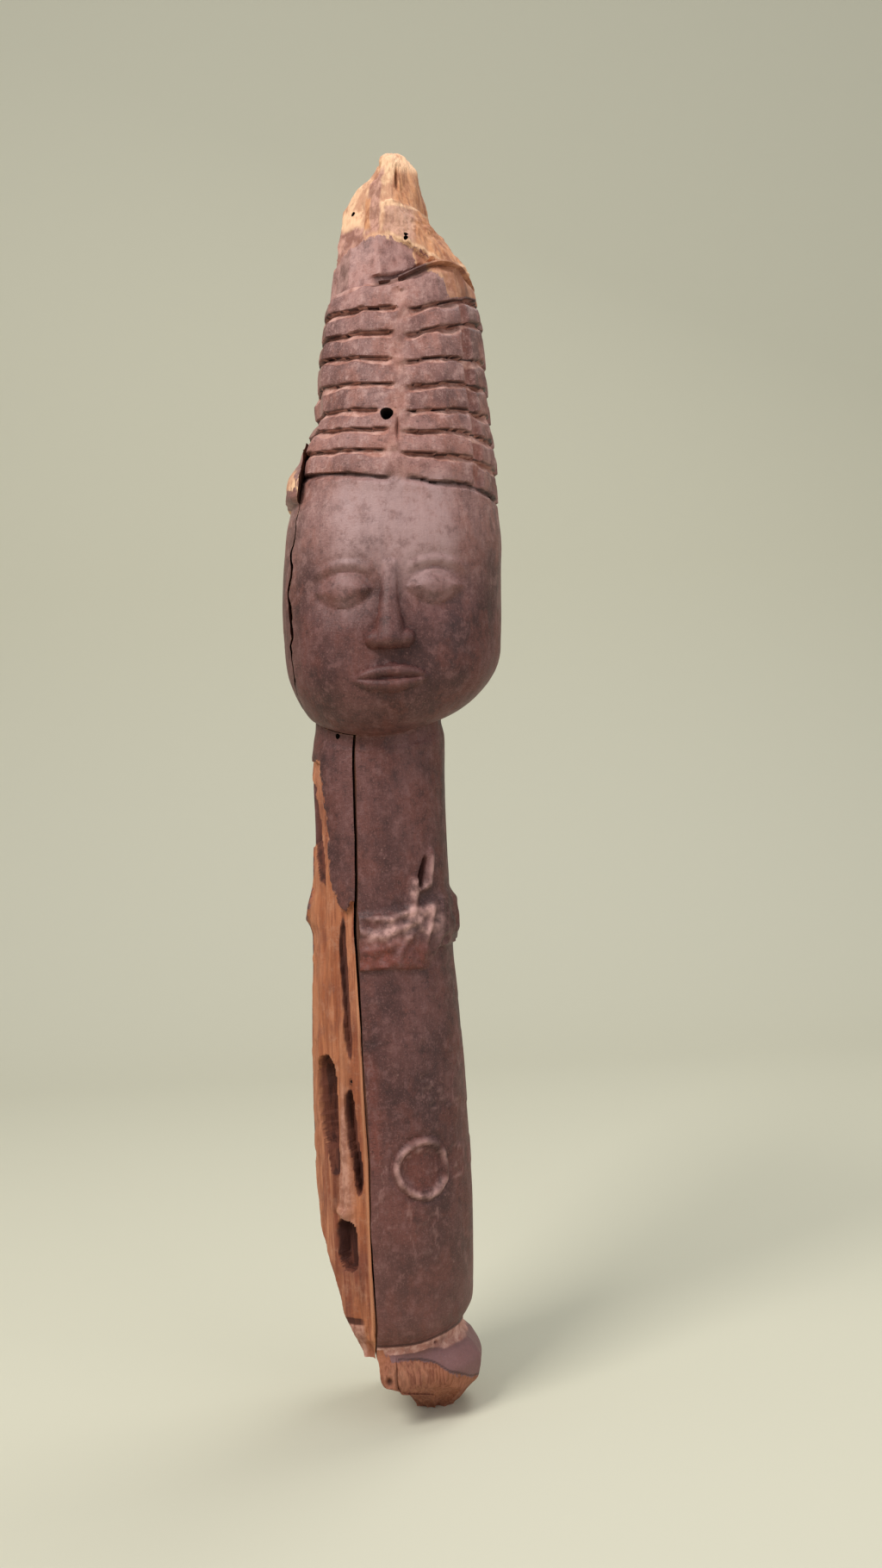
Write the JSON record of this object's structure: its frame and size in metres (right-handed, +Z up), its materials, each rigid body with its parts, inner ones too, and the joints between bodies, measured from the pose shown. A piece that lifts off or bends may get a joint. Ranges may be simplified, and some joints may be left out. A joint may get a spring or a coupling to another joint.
{
  "type": "dance wand",
  "caption": "Carved wooden ritual dance wand with a head under a tall tiered hair crest, a collared round shaft and a short foot, worn and split.",
  "frame": {"origin": "middle of the small flat that the foot stands on", "axes": "+Z up along the wand towards the tip, +X to the right of someone who looks at the face, the face towards -Y"},
  "size_m": [0.0707, 0.0745, 0.398],
  "materials": {
    "patina": "old dark red-brown stain, rubbed to a dull shine by hands",
    "bare_wood": "raw orange-brown wood, eaten by insects, with stain left at its upper end"
  },
  "bodies": {
    "root": {"carved_log": "patina", "shaft_stave": "bare_wood", "head_splinter": "patina"}
  },
  "joints": []
}
